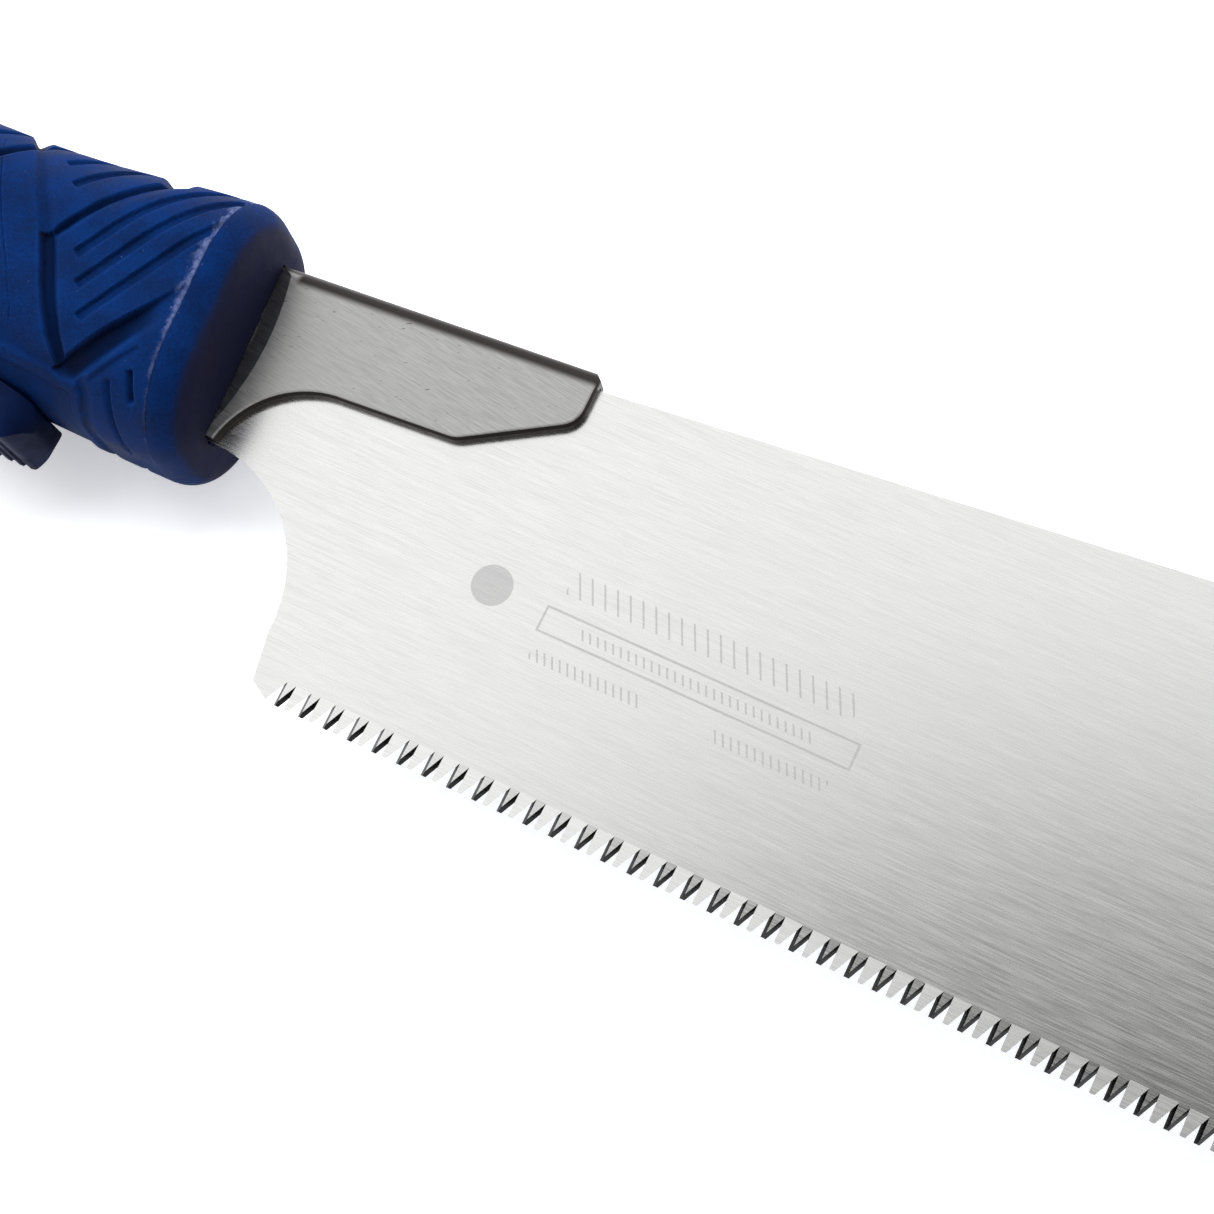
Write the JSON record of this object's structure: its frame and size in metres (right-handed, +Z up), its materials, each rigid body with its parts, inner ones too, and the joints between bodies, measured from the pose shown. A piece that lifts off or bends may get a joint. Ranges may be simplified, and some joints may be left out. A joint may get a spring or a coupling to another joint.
{
  "type": "pull saw",
  "caption": "Japanese-style pull saw with an exchangeable blade in a folded steel socket, a patterned rubber grip and a sprung release lever in its belly, lying on its side.",
  "frame": {"origin": "middle of the underside of the saw's bounding box, as it lies on its side", "axes": "+X along the tooth line from the handle to the toe, +Y from the teeth to the back, +Z up, across the flat of the blade"},
  "size_m": [0.3654, 0.0608, 0.0261],
  "materials": {
    "blade_steel": "fine lengthwise brushed",
    "socket_steel": "satin, dark broken edges",
    "plain_steel": "plain",
    "zinc_steel": "zinc plated",
    "spring_steel": "bright drawn",
    "nylon": "fine spark texture",
    "cap_plastic": "satin",
    "lever_plastic": "satin",
    "grip_rubber": "matt moulded",
    "bumper_rubber": "matt",
    "brass": "turned",
    "bronze": "sintered",
    "eyelet_metal": "satin"
  },
  "bodies": {
    "handle": {"blade": "blade_steel", "blade_socket": "socket_steel", "spacer_strip": "plain_steel", "socket_rivets": "plain_steel", "stop_pin": "plain_steel", "core_left": "nylon", "core_right": "nylon", "core_screws": "zinc_steel", "core_nuts": "zinc_steel", "grip_sleeve": "grip_rubber", "front_collar": "grip_rubber", "end_cap": "cap_plastic", "end_cap_screws": "zinc_steel", "cap_inserts": "brass", "hang_eyelet": "eyelet_metal", "eyelet_washer": "eyelet_metal", "lever_pivot_pin": "plain_steel", "lever_pivot_bushes": "bronze", "lever_spring": "spring_steel", "lever_bumper": "bumper_rubber"},
    "lever": {"release_lever": "lever_plastic"}
  },
  "joints": [
    {"name": "release_lever_hinge", "type": "hinge", "parent": "handle", "child": "lever", "pos_m": [-0.06072, -0.00621, 0.01306], "axis": [0, 0, 1], "range_deg": [0, 12], "stiffness_Nm_per_rad": 0.12, "springref_deg": -28.65, "deforming": ["lever_spring"]}
  ]
}
